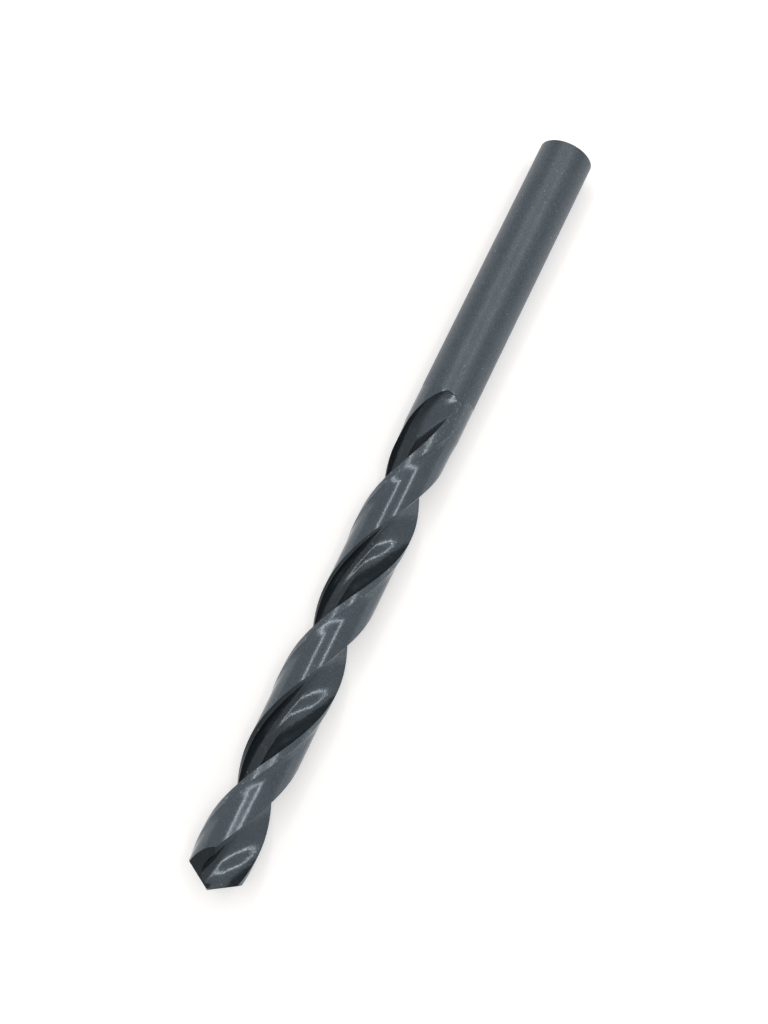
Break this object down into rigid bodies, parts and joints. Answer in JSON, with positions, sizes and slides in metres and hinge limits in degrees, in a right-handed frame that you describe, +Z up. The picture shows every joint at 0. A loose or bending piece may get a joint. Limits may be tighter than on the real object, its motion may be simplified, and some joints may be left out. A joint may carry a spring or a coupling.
{
  "type": "twist drill bit",
  "caption": "Jobber twist drill with right-hand helical flutes, a relieved point and a plain round shank.",
  "frame": {"origin": "on the plane that the drill lies on, under the middle of its length", "axes": "+X along the drill's axis, out over the shank's end; +Z up from the plane it lies on"},
  "size_m": [0.1174, 0.0082, 0.0082],
  "materials": {
    "black_steel": "black oxide on ground high-speed steel, satin"
  },
  "bodies": {
    "root": {"twist_drill": "black_steel"}
  },
  "joints": []
}
